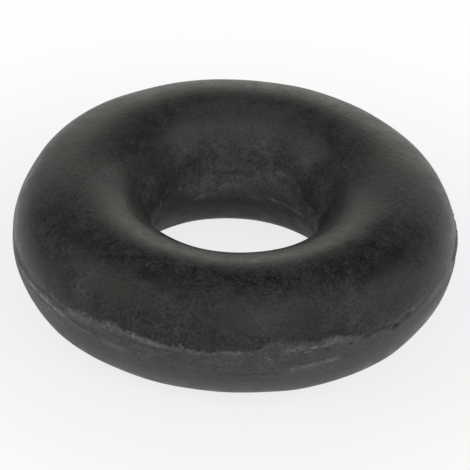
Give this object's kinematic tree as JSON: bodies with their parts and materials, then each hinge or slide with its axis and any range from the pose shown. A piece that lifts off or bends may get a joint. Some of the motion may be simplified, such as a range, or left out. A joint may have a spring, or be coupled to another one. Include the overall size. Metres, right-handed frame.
{
  "type": "o-ring",
  "caption": "Thick moulded rubber sealing ring with a round section, a small central hole and narrow trimmed bands where the mould halves met.",
  "frame": {"origin": "centre of the ring, at mid height of the section on the hole's axis", "axes": "+Z along the hole's axis, up as the ring lies flat; the ring is the same all round, and -Y is the side towards the viewer"},
  "size_m": [0.016, 0.016, 0.005],
  "materials": {
    "rubber": "matt moulded black rubber with a faint dusty bloom"
  },
  "bodies": {
    "root": {"o_ring": "rubber"}
  },
  "joints": []
}
